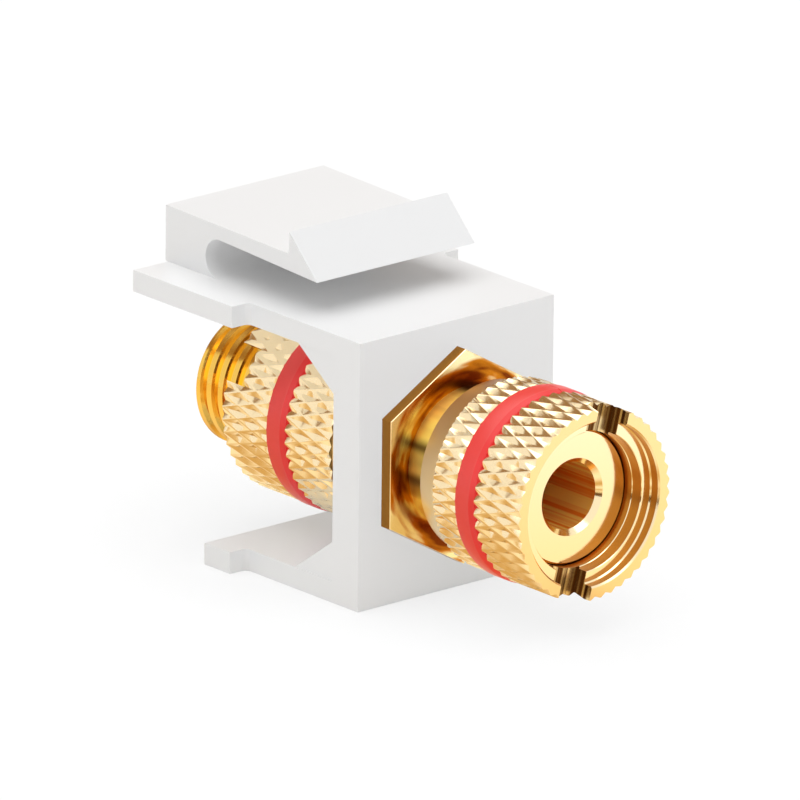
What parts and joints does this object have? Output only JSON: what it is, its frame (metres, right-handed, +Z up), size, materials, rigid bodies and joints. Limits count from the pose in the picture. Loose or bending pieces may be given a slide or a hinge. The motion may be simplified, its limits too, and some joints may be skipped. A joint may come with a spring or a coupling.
{
  "type": "binding post",
  "caption": "Gold-plated binding post in a white snap-in insert, with a plug socket at each end and a knurled screw cap at front and back.",
  "frame": {"origin": "where the post's axis crosses the insert's front face", "axes": "-Y out of the front along the post, +Y to the rear, +Z up to the latch"},
  "size_m": [0.017, 0.031, 0.0206],
  "materials": {
    "white_plastic": "satin moulded",
    "polished_gold_plate": "polished gold plate on turned brass",
    "knurled_gold_plate": "bright gold plate on knurled brass",
    "red_plastic": "gloss moulded"
  },
  "bodies": {
    "insert_and_post": {"insert": "white_plastic", "post": "polished_gold_plate", "rear_nut": "polished_gold_plate"},
    "front_ring": {"front_band": "red_plastic"},
    "front_screw_cap": {"front_cap": "knurled_gold_plate"},
    "rear_ring": {"rear_band": "red_plastic"},
    "rear_screw_cap": {"rear_cap": "knurled_gold_plate"}
  },
  "joints": [
    {"name": "front_cap_travel", "type": "slide", "parent": "insert_and_post", "child": "front_ring", "axis": [0, -1, 0], "range_m": [-0.0017, 0.0035]},
    {"name": "front_cap_turn", "type": "hinge", "parent": "front_ring", "child": "front_screw_cap", "pos_m": [0, 0, 0], "axis": [0, -1, 0], "range_deg": [-612, 1260]},
    {"name": "rear_cap_travel", "type": "slide", "parent": "insert_and_post", "child": "rear_ring", "axis": [0, 1, 0], "range_m": [0, 0.012]},
    {"name": "rear_cap_turn", "type": "hinge", "parent": "rear_ring", "child": "rear_screw_cap", "pos_m": [0, 0, 0], "axis": [0, 1, 0], "range_deg": [0, 4320]}
  ],
  "couplings": [
    {"joint": "front_cap_travel", "follows": "front_cap_turn", "m_per_rad": 0.00015915},
    {"joint": "rear_cap_travel", "follows": "rear_cap_turn", "m_per_rad": 0.00015915}
  ]
}
